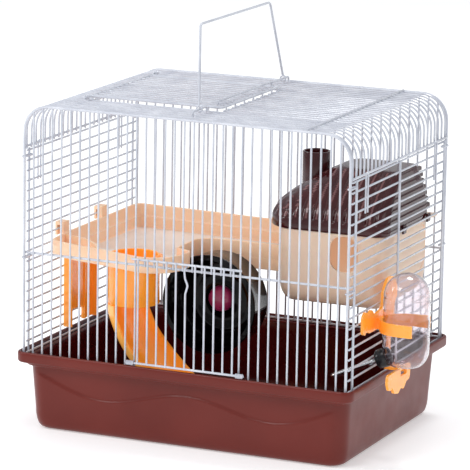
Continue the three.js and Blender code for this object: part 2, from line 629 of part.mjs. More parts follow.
makeTray();
makeWalls();
makeCornerRings();
makeRoof();
makeRoofClips();
makeRoofDoor();
makeFrontDoor();
makeHandlePivots();
makeHandle();
makePlatform();
makeLeg();
makeChute();
makeHouse();
makeHouseRoof();
makeWheel();
makeBottle();
makeBottleBracket();

export default cage;
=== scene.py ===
"""The hamster cage's visual model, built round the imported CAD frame, in its frame: metres, +Z up."""
import math

import bmesh
import bpy
from mathutils import Matrix, Vector


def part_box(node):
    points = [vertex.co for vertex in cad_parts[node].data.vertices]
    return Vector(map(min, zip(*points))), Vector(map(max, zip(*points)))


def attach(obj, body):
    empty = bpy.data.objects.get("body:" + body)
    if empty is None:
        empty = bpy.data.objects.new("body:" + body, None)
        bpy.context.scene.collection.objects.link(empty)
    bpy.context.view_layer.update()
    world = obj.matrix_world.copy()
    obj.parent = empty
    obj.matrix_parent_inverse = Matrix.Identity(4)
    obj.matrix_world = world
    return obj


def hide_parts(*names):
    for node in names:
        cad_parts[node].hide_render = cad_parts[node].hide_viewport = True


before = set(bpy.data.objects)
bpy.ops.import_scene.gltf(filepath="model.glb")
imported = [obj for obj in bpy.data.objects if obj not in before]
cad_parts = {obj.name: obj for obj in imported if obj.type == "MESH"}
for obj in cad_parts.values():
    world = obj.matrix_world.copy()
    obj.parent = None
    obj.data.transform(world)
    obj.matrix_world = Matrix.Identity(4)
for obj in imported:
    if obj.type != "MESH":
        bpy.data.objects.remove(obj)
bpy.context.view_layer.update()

MM = 0.001
CAGE = "cage"
FRONT, UP = Vector((0, -1, 0)), Vector((0, 0, 1))
# How far a wire's domed end stands out, as a share of its radius.
DOME = 0.6


def at(x, y, z):
    """A point given in millimetres."""
    return Vector((x * MM, y * MM, z * MM))


def clamped(value):
    return min(1, max(0, value))


# ---- materials
def nodes_of(name):
    """A new material, its node tree and its Principled shader."""
    surface = bpy.data.materials.new(name)
    surface.use_nodes = True
    tree = surface.node_tree
    return surface, tree, tree.nodes["Principled BSDF"]


def fill(node, values):
    """Constants set on a node's sockets."""
    for socket, value in values.items():
        node.inputs[socket].default_value = value


def add_node(tree, kind, **values):
    node = tree.nodes.new(kind)
    for key, value in values.items():
        if key in node.inputs:
            node.inputs[key].default_value = value
        else:
            setattr(node, key, value)
    return node


def noise(tree, scale, detail=3.0, stretch=(1, 1, 1)):
    """Noise in the object's own coordinates."""
    place = add_node(tree, "ShaderNodeTexCoord")
    mapping = add_node(tree, "ShaderNodeMapping")
    fill(mapping, {"Scale": stretch})
    tree.links.new(place.outputs["Object"], mapping.inputs["Vector"])
    texture = add_node(tree, "ShaderNodeTexNoise", Scale=scale, Detail=detail)
    tree.links.new(mapping.outputs["Vector"], texture.inputs["Vector"])
    return texture.outputs["Fac"]


def ramp(tree, factor, stops):
    """A colour ramp over a factor; stops are (position, colour)."""
    node = add_node(tree, "ShaderNodeValToRGB")
    tree.links.new(factor, node.inputs["Fac"])
    elements = node.color_ramp.elements
    while len(elements) < len(stops):
        elements.new(0.5)
    for element, (position, color) in zip(elements, stops):
        element.position = position
        element.color = (*color, 1)
    return node.outputs["Color"]


def spread(tree, factor, low, high):
    """The factor's usual range, 0.3 to 0.7, mapped to low and high."""
    node = add_node(tree, "ShaderNodeMapRange")
    fill(node, {"From Min": 0.3, "From Max": 0.7, "To Min": low, "To Max": high})
    tree.links.new(factor, node.inputs["Value"])
    return node.outputs["Result"]


def height_bump(tree, shader, factor, strength, distance):
    node = add_node(tree, "ShaderNodeBump", Strength=strength, Distance=distance)
    tree.links.new(factor, node.inputs["Height"])
    tree.links.new(node.outputs["Normal"], shader.inputs["Normal"])


def plastic(
    name, shade, light, rough=(0.3, 0.42), grain=1000, mottle=30, bump=0.1, coat=0.15, specular=0.5,
    alpha=1.0, spread_light=None, painted_glow=None,
):
    """Moulded plastic: mottled colour, a fine satin grain and a thin clear gloss.

    spread_light is a (radius, weight, scale) for light that spreads inside it; the last argument is a
    (colour, strength) of painted glow, an emission though the plastic is no lamp.
    """
    surface, tree, shader = nodes_of(name)
    color = ramp(tree, noise(tree, mottle, 4), [(0.3, shade), (0.7, light)])
    tree.links.new(color, shader.inputs["Base Color"])
    tree.links.new(spread(tree, noise(tree, mottle * 3, 5), *rough), shader.inputs["Roughness"])
    height_bump(tree, shader, noise(tree, grain, 2), bump, 0.0002)
    values = {"Coat Weight": coat, "Coat Roughness": 0.12, "Specular IOR Level": specular, "Alpha": alpha}
    if spread_light:
        names = ("Subsurface Radius", "Subsurface Weight", "Subsurface Scale")
        values.update(zip(names, spread_light))
    if painted_glow:
        values.update({"Emission Color": (*painted_glow[0], 1), "Emission Strength": painted_glow[1]})
    fill(shader, values)
    return surface


WHITE_WIRE = plastic(
    "white_wire_enamel", (0.54, 0.56, 0.63), (0.7, 0.72, 0.78), (0.16, 0.3), 1400, mottle=60, bump=0.25,
    coat=0.5,
)
BURGUNDY = plastic(
    "burgundy_plastic", (0.125, 0.012, 0.007), (0.16, 0.018, 0.011), (0.28, 0.4), 1300, mottle=14, bump=0.2,
    coat=0.06, specular=0.28,
)
# A darker burgundy for the tray's inside faces: painted shade.
BURGUNDY_PAINTED_SHADE = plastic(
    "burgundy_painted_shade", (0.06, 0.002, 0.003), (0.09, 0.004, 0.005), (0.2, 0.32), 1300, mottle=14, coat=0.05,
    specular=0.3,
)
# Its emission is a faint painted glow: the platform plastic lights itself.
PEACH = plastic(
    "peach_plastic", (0.86, 0.56, 0.36), (0.94, 0.65, 0.44), mottle=22, bump=0.12,
    spread_light=((0.012, 0.006, 0.003), 0.25, 0.4), painted_glow=((1.0, 0.62, 0.4), 0.1),
)
# A paler, whiter peach for the platform's upward floor faces: painted light on its top.
PEACH_PAINTED_TOPLIGHT = plastic("peach_painted_toplight", (0.85, 0.7, 0.6), (0.92, 0.79, 0.7), mottle=22, bump=0.12)
PEACH_HOUSE = plastic(
    "peach_house", (0.79, 0.57, 0.43), (0.87, 0.66, 0.5), mottle=22, bump=0.12,
    spread_light=((0.01, 0.006, 0.003), 0.2, 0.4),
)
# The house's inward faces: a lighter peach with a painted glow.
PEACH_INSIDE_PAINTED_GLOW = plastic(
    "peach_inside_painted_glow", (0.84, 0.59, 0.42), (0.9, 0.67, 0.5), (0.35, 0.45), mottle=22, bump=0.12, coat=0.1,
    painted_glow=((1.0, 0.66, 0.44), 0.24),
)
# Its emission is a painted glow in the orange plastic.
ORANGE = plastic(
    "orange_plastic", (0.98, 0.31, 0.025), (1.0, 0.41, 0.05), (0.2, 0.3), mottle=26, coat=0.4,
    spread_light=((0.014, 0.006, 0.001), 0.4, 0.5), painted_glow=((1.0, 0.33, 0.03), 0.22),
)
# A lighter, yellower copy of the orange with a stronger painted glow: painted light on the outside of the
# chute.
ORANGE_PAINTED_LIGHT = plastic(
    "orange_painted_light", (1.0, 0.45, 0.08), (1.0, 0.54, 0.13), (0.2, 0.3), mottle=26, coat=0.4,
    painted_glow=((1.0, 0.45, 0.1), 0.3),
)
BROWN = plastic(
    "brown_plastic", (0.035, 0.003, 0.004), (0.06, 0.007, 0.008), (0.1, 0.16), 1100, bump=0.04, specular=0.4
)
# A lighter brown for the roof's rib crests: a painted highlight.
BROWN_PAINTED_HIGHLIGHT = plastic(
    "brown_painted_highlight", (0.13, 0.045, 0.045), (0.2, 0.08, 0.08), (0.1, 0.16), 1100, bump=0.04, coat=0.3
)
VENT = plastic("vent_plastic", (0.07, 0.04, 0.04), (0.11, 0.07, 0.065), (0.4, 0.5), 900, coat=0.1)
SMOKED = plastic(
    "smoked_plastic", (0.002, 0.001, 0.0015), (0.005, 0.002, 0.003), (0.05, 0.1), bump=0.03, coat=0.1,
    specular=0.22, alpha=0.93,
)
SMOKED_DISC = plastic(
    "smoked_disc", (0.001, 0.0008, 0.001), (0.003, 0.0015, 0.002), (0.05, 0.1), bump=0.03, coat=0.05,
    specular=0.12,
)
BLACK = plastic(
    "black_plastic", (0.006, 0.006, 0.008), (0.012, 0.012, 0.014), (0.12, 0.2), 1200, mottle=60, specular=0.3
)
MAGENTA = plastic(
    "magenta_plastic", (0.38, 0.02, 0.09), (0.52, 0.04, 0.15), (0.25, 0.35), mottle=70, coat=0.3
)


def bottle_plastic():
    surface, tree, shader = nodes_of("clear_plastic")
    tint = ramp(tree, noise(tree, 25, 3), [(0.3, (0.9, 0.85, 0.89)), (0.7, (0.95, 0.91, 0.94))])
    tree.links.new(tint, shader.inputs["Base Color"])
    tree.links.new(spread(tree, noise(tree, 90, 4), 0.06, 0.16), shader.inputs["Roughness"])
    height_bump(tree, shader, noise(tree, 60, 3), 0.05, 0.0004)
    fill(shader, {"Transmission Weight": 1.0, "IOR": 1.12, "Coat Weight": 1.0, "Coat Roughness": 0.04})
    return surface


def polished_steel():
    surface, tree, shader = nodes_of("polished_steel")
    tone = ramp(tree, noise(tree, 200, 3, (1, 1, 6)), [(0.3, (0.55, 0.56, 0.58)), (0.7, (0.72, 0.73, 0.75))])
    tree.links.new(tone, shader.inputs["Base Color"])
    tree.links.new(spread(tree, noise(tree, 300, 4), 0.1, 0.22), shader.inputs["Roughness"])
    fill(shader, {"Metallic": 1.0})
    return surface


CLEAR = bottle_plastic()
STEEL = polished_steel()


# ---- mesh tools
def as_object(name, form, surface):
    mesh = bpy.data.meshes.new(name)
    bmesh.ops.recalc_face_normals(form, faces=form.faces)
    form.to_mesh(mesh)
    form.free()
    obj = bpy.data.objects.new(name, mesh)
    bpy.context.scene.collection.objects.link(obj)
    if surface:
        mesh.materials.append(surface)
    return obj


def combine(obj, other, operation="DIFFERENCE"):
    """A boolean with another object, applied to the mesh; the other object is removed."""
    modifier = obj.modifiers.new("cut", "BOOLEAN")
    modifier.object = other
    modifier.operation = operation
    modifier.solver = "EXACT"
    graph = bpy.context.evaluated_depsgraph_get()
    result = bpy.data.meshes.new_from_object(obj.evaluated_get(graph))
    obj.modifiers.clear()
    old = obj.data
    obj.data = result
    result.name = old.name + "_cut"
    bpy.data.meshes.remove(old)
    bpy.data.objects.remove(other)


def bevel(obj, width, segments=2, angle=40):
    """Rounds the edges that are sharper than an angle."""
    modifier = obj.modifiers.new("bevel", "BEVEL")
    modifier.width = width * MM
    modifier.segments = segments
    modifier.limit_method = "ANGLE"
    modifier.angle_limit = math.radians(angle)


def finish(obj, body, *replaced, sharp=42):
    """Smooth shading with sharp creases, and the body that the piece rides on; the CAD parts it replaces are
    hidden.
    """
    mesh = obj.data
    for polygon in mesh.polygons:
        polygon.use_smooth = True
    mesh.set_sharp_from_angle(angle=math.radians(sharp))
    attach(obj, body)
    if replaced:
        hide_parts(*replaced)


def piece(name, form, surface, body, *replaced):
    finish(as_object(name, form, surface), body, *replaced)


def strip(form, first, second):
    """Quads between two closed rings of equal length."""
    count = len(first)
    for index in range(count):
        after = (index + 1) % count
        form.faces.new((first[index], first[after], second[after], second[index]))


def loft(form, rings, looped=False):
    """Skins closed rings of points, and closes the two ends unless the rings run round a loop."""
    made = [[form.verts.new(point) for point in ring] for ring in rings]
    for first, second in zip(made, made[1:]):
        strip(form, first, second)
    if looped:
        strip(form, made[-1], made[0])
    else:
        form.faces.new(made[0])
        form.faces.new(made[-1])


def rounded_corner(before, corner, after, radius, steps):
    """The arc that replaces a corner of a path."""
    inward = (before - corner).normalized()
    outward = (after - corner).normalized()
    angle = inward.angle(outward)
    if angle > math.radians(176):
        return [corner]
    reach = min(radius / math.tan(angle / 2), 0.49 * (before - corner).length, 0.49 * (after - corner).length)
    start, end = corner + inward * reach, corner + outward * reach
    bow = reach * math.tan(angle / 2)
    centre = corner + (inward + outward).normalized() * math.hypot(reach, bow)
    arm_a, arm_b = start - centre, end - centre
    turn = arm_a.angle(arm_b)
    points = []
    for step in range(steps + 1):
        share = step / steps
        weight_a = math.sin((1 - share) * turn) / math.sin(turn)
        weight_b = math.sin(share * turn) / math.sin(turn)
        points.append(centre + arm_a * weight_a + arm_b * weight_b)
    return points


def bent(points, radius, steps=5):
    """An open path with its inner corners rounded."""
    path = [points[0]]
    for before, corner, after in zip(points, points[1:], points[2:]):
        path += rounded_corner(before, corner, after, radius * MM, steps)
    return path + [points[-1]]


def turns(count):
    """Angles that share out a full turn."""
    return [2 * math.pi * k / count for k in range(count)]


def staple(x, y0, y1, foot, top, steps=5):
    """The path of a wire that goes up, along and down again."""
    return bent([at(x, y0, foot), at(x, y0, top), at(x, y1, top), at(x, y1, foot)], 2.4, steps)


def wire(form, points, radius=1.0, sides=10, closed=False):
    """A round wire along a path, with domed ends."""
    count = len(points)
    radius *= MM
    stations = []
    side = None
    for index, point in enumerate(points):
        if closed:
            forward = points[(index + 1) % count] - points[index - 1]
        else:
            forward = points[min(index + 1, count - 1)] - points[max(index - 1, 0)]
        forward.normalize()
        if side is None:
            side = forward.orthogonal().normalized()
        side = (side - forward * side.dot(forward)).normalized()
        stations.append((point, side, forward.cross(side), forward))

    def ring(spot, across, up, size):
        return [spot + (across * math.cos(turn) + up * math.sin(turn)) * size for turn in turns(sides)]

    outlines = [ring(spot, across, up, radius) for spot, across, up, _ in stations]
    if closed:
        loft(form, outlines, looped=True)
        return
    for end, direction in ((0, -1), (-1, 1)):
        spot, across, up, forward = stations[end]
        for share in (0.5, 0.87):
            tip = spot + forward * direction * radius * share * DOME
            dome = ring(tip, across, up, radius * math.sqrt(1 - share * share))
            outlines.insert(0 if end == 0 else len(outlines), dome)
    loft(form, outlines)


def straight(form, start, end, radius=1.0, sides=10):
    wire(form, [at(*start), at(*end)], radius, sides)


def corner_arc(centre, radius, start, turn, steps):
    """Points of an arc in a plane, as (a, b) pairs; angles in degrees."""
    return [
        (
            centre[0] + radius * math.cos(math.radians(start + turn * k / steps)),
            centre[1] + radius * math.sin(math.radians(start + turn * k / steps)),
        )
        for k in range(steps + 1)
    ]


def rounded_rectangle(x0, x1, y0, y1, radii, inset=0.0, steps=8, straights=1):
    """Outline pairs, corners in the order front-right, back-right, back-left, front-left."""
    if not isinstance(radii, (list, tuple)):
        radii = [radii] * 4
    points = []
    corners = [(x1, y0, -90), (x1, y1, 0), (x0, y1, 90), (x0, y0, 180)]
    for (x, y, start), full in zip(corners, radii):
        radius = max(full - inset, 0.6)
        centre_x = x + (-1 if x == x1 else 1) * (radius + inset)
        centre_y = y + (-1 if y == y1 else 1) * (radius + inset)
        points.append(corner_arc((centre_x, centre_y), radius, start, 90, steps))
    outline = []
    for index, arc in enumerate(points):
        outline += arc
        following = points[(index + 1) % 4][0]
        (x, y), (along, across) = arc[-1], (following[0] - arc[-1][0], following[1] - arc[-1][1])
        shares = [step / straights for step in range(1, straights)]
        outline += [(x + along * share, y + across * share) for share in shares]
    return outline


def lathe(form, profile, origin, direction, steps=48, ripple=None):
    """Turns (radius, distance) pairs about a line. A profile that ends where it began makes a hollow ring."""
    axis = direction.normalized()
    side = axis.orthogonal().normalized()
    up = axis.cross(side)
    rings = []
    for radius, along in profile:
        centre = origin + axis * along * MM
        ring = []
        for turn in turns(steps):
            size = radius * MM * (ripple(turn, along) if ripple else 1)
            ring.append(centre + (side * math.cos(turn) + up * math.sin(turn)) * size)
        rings.append(ring)
    hollow = profile[0] == profile[-1]
    loft(form, rings[:-1] if hollow else rings, looped=hollow)


def slab(form, outline, low, high, place):
    """A flat outline between two levels; place(a, b, level) gives the point."""
    loft(form, [[place(a, b, level) for a, b in outline] for level in (low, high)])


def facing_front(a, b, level):
    return at(a, level, b)


def facing_side(a, b, level):
    return at(level, a, b)


def block(form, x0, x1, y0, y1, z0, z1):
    slab(form, [(x0, y0), (x1, y0), (x1, y1), (x0, y1)], z0, z1, at)


def built(name, surface, build, *arguments, **options):
    """An object made by one building function."""
    form = bmesh.new()
    build(form, *arguments, **options)
    return as_object(name, form, surface)


def carve(obj, build, *arguments):
    combine(obj, built("cutter", None, build, *arguments))


def join(obj, build, *arguments):
    combine(obj, built("addition", None, build, *arguments), "UNION")


def paint(obj, surface, test):
    """A second material, for the faces that pass a test."""
    obj.data.materials.append(surface)
    for face in obj.data.polygons:
        face.material_index = 1 if test(face) else 0


def box_of(node):
    """A CAD node's box in millimetres: x0, x1, y0, y1, z0, z1."""
    return [value / MM for pair in zip(*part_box(node)) for value in pair]


# ---- tray
HALF_X = 160
HALF_Y = 120


def wave_height(x):
    """Height of the relief line on the tray's front wall."""
    return 41 + 7.5 * math.cos((x - 3) * 2 * math.pi / 168) + 7 * (abs(x) / 150) ** 6


def make_tray():
    # (half width, half depth, corner radius, height): up the outside, over the lip and down the inside.
    foot = [
        (142, 101, 9, 0.8), (146, 105, 10, 0), (149.5, 108.4, 12, 0.2), (152, 110.7, 13.5, 1.4),
        (153.8, 112.3, 14.5, 3.6), (154.8, 113.2, 15, 6.6), (155.4, 113.8, 15, 10), (155.8, 114.2, 15, 14),
    ]
    steps = 40
    rise = [
        (156 + 2.5 * share, 114.4 + 2.5 * share, 15.5, 18 + 40.5 * share)
        for share in (step / steps for step in range(steps + 1))
    ]
    lip = [
        (158.7, 117.1, 15.4, 59.8), (159.4, 117.8, 15.2, 60.5), (161, 119.8, 14.6, 60.7),
        (161.6, 120.8, 14, 61.2), (162.2, 121.2, 13.5, 62.2), (162.6, 121.6, 13, 63.2),
        (163.4, 122.4, 12.6, 63.9), (165.6, 124.6, 11, 64), (166.6, 125.6, 10.4, 64.5), (167, 126, 10, 65.6),
        (167, 126, 10, 72.6), (166.7, 125.7, 9.8, 73.4), (166, 125, 9, 74),
    ]
    inside = [
        (164.8, 123.8, 7.6, 74), (163.9, 122.9, 6.4, 73.5), (163.5, 122.5, 6, 72.6), (163.4, 122.4, 6, 70.8),
        (162.8, 121.8, 6.2, 70.1), (162, 121, 7, 70), (157.4, 116, 12, 70),
        (156.5, 115.1, 12.4, 69.6), (156, 114.6, 12.8, 68.6), (155.8, 114.3, 13, 60), (154.9, 113.3, 13, 46),
        (154, 112.4, 13, 32), (153.2, 111.6, 13, 16), (152.6, 111, 12.6, 10), (150.6, 109, 12, 5.6),
        (147, 105.6, 11, 3.4), (142, 101, 9, 2.6),
    ]
    rings = []
    for half_x, half_y, radius, z in foot + rise + lip + inside:
        outline = rounded_rectangle(-half_x, half_x, -half_y, half_y, radius, steps=10, straights=70)
        rings.append([at(x, y, z) for x, y in outline])
    # The relief: above the wave line the front wall, up to just under the lip, stands back a little.
    relief_half, relief_depth, slope, fading = 150, 1.5, 1.2, 8
    for ring in rings[len(foot):len(foot) + len(rise) + 2]:
        for point in ring:
            if point.y < -108 * MM and abs(point.x) < relief_half * MM:
                above = (point.z / MM - wave_height(point.x / MM)) / slope
                fade = clamped((relief_half - abs(point.x) / MM) / fading)
                point.y += relief_depth * MM * fade * clamped(above)
    tray = built("base_tray_shell", BURGUNDY, loft, rings)
    # Past the lip the faces look inwards; they get a darker burgundy, painted shade.
    first_inner = (len(rings) - len(inside)) * len(rings[0])
    paint(tray, BURGUNDY_PAINTED_SHADE, lambda face: min(face.vertices) >= first_inner)
    finish(tray, "tray", "base_tray", sharp=50)


# ---- wire panels
FOOT_Z = 71.5
ROOF_Z = 304
BEND = 24
GAPS = 34
# Radius and number of sides of the filling wires and of the small rings; radius of the cross wires.
THIN = (0.95, 8)
FINE = (0.8, 8)
CROSS = 1.1
# The roof's hoops, and the half depth of the door among them.
HOOPS = 26
HOOP_PITCH = 9.25
ROOF_DOOR_HALF = 66
# The uprights that the front door hangs between.
FRONT_DOOR = (12, 23)


def upright_x(index):
    return -HALF_X + 2 * HALF_X * index / GAPS


def hoop_y(index):
    return HOOP_PITCH * (index - (HOOPS - 1) / 2)


def arch_z(x):
    """Height of the roof wire's middle at a place across the cage."""
    beyond = abs(x) - (HALF_X - BEND)
    return ROOF_Z - BEND + (math.sqrt(max(BEND * BEND - beyond * beyond, 0)) if beyond > 0 else BEND)


def arch_path(y, foot, bend=BEND, top=ROOF_Z, half=HALF_X):
    left = [(-half, foot)] + corner_arc((bend - half, top - bend), bend, 180, -90, 8)
    right = corner_arc((half - bend, top - bend), bend, 90, -90, 8) + [(half, foot)]
    return [at(x, y, z) for x, z in left + right]


def make_end_panel(name, y, mid_z, inward, door=None):
    """Uprights under an arch; between the door's two uprights they stop at the cross wire."""
    form = bmesh.new()
    wire(form, arch_path(y, FOOT_Z), 1.25)
    for level, z in ((y, FOOT_Z), (y + inward * 1.5, mid_z)):
        straight(form, (-HALF_X, level, z), (HALF_X, level, z), CROSS)
    for index in range(1, GAPS):
        x = upright_x(index)
        foot = mid_z - 0.5 if door and door[0] < index < door[1] else FOOT_Z
        straight(form, (x, y, foot), (x, y, arch_z(x)), *THIN)
    piece(name + "_wires", form, WHITE_WIRE, CAGE, name)


def make_side_panel(name, x):
    outward = 1 if x > 0 else -1
    rows, lowest, highest, front, back = 20, 82.2, 261.2, -114.5, 117.5
    form = bmesh.new()
    for z in [FOOT_Z] + [lowest + (highest - lowest) * row / (rows - 1) for row in range(rows)]:
        straight(form, (x, front, z), (x, back, z), *THIN)
    for y, out, radius in ((-108, 1.4, 1.15), (-3, 1.6, 1.1), (112, 1.4, 1.15)):
        straight(form, (x + outward * out, y, FOOT_Z - 0.6), (x + outward * out, y, highest + 1), radius)
    piece(name + "_wires", form, WHITE_WIRE, CAGE, name)


def make_corner_rings():
    for end in ("front", "back"):
        for side in ("left", "right"):
            for level in ("low", "high"):
                node = f"corner_ring_{end}_{side}_{level}"
                x0, x1, y0, y1, z0, z1 = box_of(node)
                r = FINE[0]
                outline = rounded_rectangle(x0 + r, x1 - r, y0 + r, y1 - r, 1.8, steps=5)
                path = [at(a, b, (z0 + z1) / 2) for a, b in outline]
                finish(built(node + "_wire", WHITE_WIRE, wire, path, *FINE, closed=True), CAGE, node)


def make_roof():
    """Hoops with a gap for the door, and the cross wires that carry them."""
    form = bmesh.new()
    left_x, right_x, door_x, foot = -120, 117, 11, 263.4
    last = hoop_y(HOOPS - 1)
    for index in range(HOOPS):
        y = hoop_y(index)
        path = arch_path(y, foot)
        if abs(y) < ROOF_DOOR_HALF:
            middle = len(path) // 2
            wire(form, path[:middle] + [at(left_x - 0.4, y, ROOF_Z)], *THIN)
            wire(form, [at(door_x + 0.4, y, ROOF_Z)] + path[middle:], *THIN)
        else:
            wire(form, path, *THIN)
    for x, z, reach in (
        (-HALF_X - 1.6, foot + 1.6, last + 1.6), (HALF_X + 1.6, foot + 1.6, last + 1.6),
        (left_x, ROOF_Z - 1.5, last + 1), (right_x, ROOF_Z + 1.5, last + 1), (door_x, ROOF_Z - 1.5, 76),
    ):
        straight(form, (x, -reach, z), (x, reach, z), CROSS)
    piece("roof_panel_wires", form, WHITE_WIRE, CAGE, "roof_panel")


def make_roof_clips():
    for side in ("left", "right"):
        for end in ("front", "back"):
            node = f"roof_clip_{side}_{end}"
            x0, x1, y0, y1, _, _ = box_of(node)
            x, y, foot, top = (x0 + x1) / 2, (y0 + y1) / 2, 230, 266
            path = staple(x, y - 2.6, y + 2.6, foot, top, 6)
            finish(built(node + "_wire", WHITE_WIRE, wire, path, *FINE), CAGE, node)


def coil(form, start, axis, length, radius=1.75, thickness=0.6, pitch=1.25, steps=14):
    """A tight spiral of wire about a line."""
    side = axis.orthogonal().normalized()
    up = axis.cross(side)
    count = int(length / pitch * steps)
    path = []
    for k in range(count + 1):
        turn = 2 * math.pi * length / pitch * k / count
        middle = start + axis * length * MM * k / count
        path.append(middle + (side * math.cos(turn) + up * math.sin(turn)) * radius * MM)
    wire(form, path, thickness, 6)


def make_hinge_coils():
    for node, axis in (
        ("roof_door_hinge_front", Vector((0, 1, 0))),
        ("roof_door_hinge_back", Vector((0, 1, 0))),
        ("front_door_hinge_left", Vector((1, 0, 0))),
        ("front_door_hinge_right", Vector((1, 0, 0))),
    ):
        low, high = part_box(node)
        length = (high - low).dot(axis) / MM - 1.2
        start = (low + high) / 2 - axis * length * MM / 2
        finish(built(node + "_coil", WHITE_WIRE, coil, start, axis, length), CAGE, node)


# ---- doors and handle
def make_front_door():
    y, hinge_z, top_z, latch_z = -124.3, 76.8, 173, 138
    middle, pitch, each_side = sum(upright_x(index) for index in FRONT_DOOR) / 2, 9.4, 5
    form = bmesh.new()
    for half, level, z, radius in ((58, y, hinge_z, 1.05), (54, y + 1.6, top_z, CROSS)):
        straight(form, (middle - half, level, z), (middle + half, level, z), radius)
    # The middle wire ends where the latch begins.
    for index in range(-each_side, each_side + 1):
        x = middle + pitch * index
        straight(form, (x, y, hinge_z), (x, y, top_z + 0.6 if index else latch_z), *THIN)
    piece("front_door_wires", form, WHITE_WIRE, "front_door", "front_door")
    points = [
        (middle, y, latch_z), (middle, y, 141), (middle + 0.6, y - 1.2, 147), (middle + 3.4, y - 2.2, 155),
        (middle + 0.4, y - 1.6, 161), (middle - 0.8, y - 0.6, 167), (middle - 0.8, y + 1, 170.2),
        (middle - 0.8, y + 5, 170.4),
    ]
    path = bent([at(*point) for point in points], 4, 4)
    latch = built("front_door_latch_wire", WHITE_WIRE, wire, path, *THIN)
    finish(latch, "front_door", "front_door_latch")


def make_roof_door():
    left, right, _, _, z0, z1 = box_of("roof_door")
    left, right, z, half = left + 1, right - 1, (z0 + z1) / 2, ROOF_DOOR_HALF
    form = bmesh.new()
    straight(form, (left, -78, z), (left, 78, z), 1.05)
    path = [at(left, half, z), at(right, half, z), at(right, -half, z), at(left, -half, z)]
    wire(form, bent(path, 5, 5), 1.0)
    for y in map(hoop_y, range(HOOPS)):
        if abs(y) < half - 4:
            straight(form, (left, y, z), (right, y, z), 0.9, 8)
    piece("roof_door_wires", form, WHITE_WIRE, "roof_door", "roof_door")
    x0, x1, y0, y1, _, top = box_of("roof_door_latch")
    path = staple((x0 + x1) / 2, y0 + 1, y1 - 1, z + 1.2, top - 1)
    latch = built("roof_door_latch_wire", WHITE_WIRE, wire, path, THIN[0])
    finish(latch, "roof_door", "roof_door_latch")


def make_handle():
    _, _, front, back, _, top = box_of("carry_handle")
    front, back, z, foot, inward = front + 1.2, back - 1.2, 309.2, 2.6, 17
    top -= z + 1.2
    lean = Matrix.Rotation(math.radians(-6), 4, "Y")
    points = [(0, front, foot), (0, front + inward, top), (0, back - inward, top), (0, back, foot)]
    path = [at(0, 0, z) + lean @ at(*point) for point in points]
    form = bmesh.new()
    wire(form, bent(path, 5, 6), 1.15)
    for y in (front, back):
        ring = corner_arc((0, z), 2.7, 0, 345, 22)
        wire(form, [at(a, y, b) for a, b in ring], *FINE)
    piece("carry_handle_wire", form, WHITE_WIRE, "handle", "carry_handle")
    for end in ("front", "back"):
        node = "handle_pivot_" + end
        x0, x1, y0, y1, _, _ = box_of(node)
        path = staple((x0 + x1) / 2, y0 + 1, y1 - 1, ROOF_Z + 0.4, z)
        finish(built(node + "_wire", WHITE_WIRE, wire, path), CAGE, node)


# ---- house
HOUSE_X = (46, 155.5)
HOUSE_Y = (-22, 100)
HOUSE_RADII = (14, 20, 24, 20)


def house_outline(inset, steps=10, straights=10):
    return rounded_rectangle(*HOUSE_X, *HOUSE_Y, HOUSE_RADII, inset, steps, straights)


def make_house():
    # (inset, height) from the underside up the outside, over the edge and down the inside to the floor.
    levels = [
        (20, 124.0), (13, 124), (9, 125), (5.5, 127.6), (3, 131.4), (1.4, 136), (0.6, 141), (0.2, 150),
        (0, 170), (0, 192.2), (0.4, 192.9), (1.1, 193.2), (1.8, 192.9), (2.2, 192.2), (2.2, 170), (2.4, 150),
        (3, 141), (5, 134), (9, 129), (15, 126.8), (20, 126.6),
    ]
    rings = [[at(x, y, z) for x, y in house_outline(inset)] for inset, z in levels]
    house = built("house_body_shell", PEACH_HOUSE, loft, rings)
    window = rounded_rectangle(102, 130, 158, 191, 12)
    carve(house, slab, window, -30, -5, facing_front)
    doorway = rounded_rectangle(31, 71, 152, 198, (2, 14, 14, 2))
    carve(house, slab, doorway, 36, 72, facing_side)
    # A small ear stands out at the back of the rim.
    join(house, block, 139, 156.5, 98.2, 111.6, 190.8, 193)
    # A shallow recess in the right wall.
    recess = rounded_rectangle(-4, 84, 146, 190, 14)
    carve(house, slab, recess, HOUSE_X[1] - 0.8, HOUSE_X[1] + 1, facing_side)
    middle = at(sum(HOUSE_X) / 2, sum(HOUSE_Y) / 2, 160)
    # The house's inward faces get a lighter peach with a painted glow.
    paint(house, PEACH_INSIDE_PAINTED_GLOW, lambda face: face.normal.dot(middle - face.center) > 0)
    bevel(house, 0.5)
    finish(house, CAGE, "house_body")


ROOF_FOOT = (34.5, 156.3, -22.8, 100.8)
ROOF_CROWN = (87, 151.3, 23.2, 74.8)
ROOF_RADII = (14, 20, 24, 30)
ROOF_BASE = 193.3
ROOF_SKIRT = 202.3
ROOF_TOP = 246
# How far in and how far up the roof has come, from its skirt to its crown.
ROOF_PROFILE = [(0, 0), (0.02, 0.1), (0.08, 0.24), (0.2, 0.4), (0.42, 0.6), (0.7, 0.81), (0.9, 0.95), (1, 1)]


def roof_outline(share, inset, steps=14, straights=40):
    x0, x1, y0, y1 = (foot + (crown - foot) * share for foot, crown in zip(ROOF_FOOT, ROOF_CROWN))
    radii = [radius * (1 - 0.45 * share) for radius in ROOF_RADII]
    return rounded_rectangle(x0, x1, y0, y1, radii, inset, steps, straights)


def roof_profile(steps=5):
    """The profile as a smooth run of (share, height) pairs."""
    path = smooth_path([Vector((share, climb, 0)) for share, climb in ROOF_PROFILE], steps)
    return [(clamped(point.x), clamped(point.y)) for point in path]


def from_crest(along, pitch=10.4):
    """How far a place along an eave is from the nearest rib's crest: 0 on it, 1 in the crease between two."""
    return abs((along / pitch) % 1 - 0.5) * 2


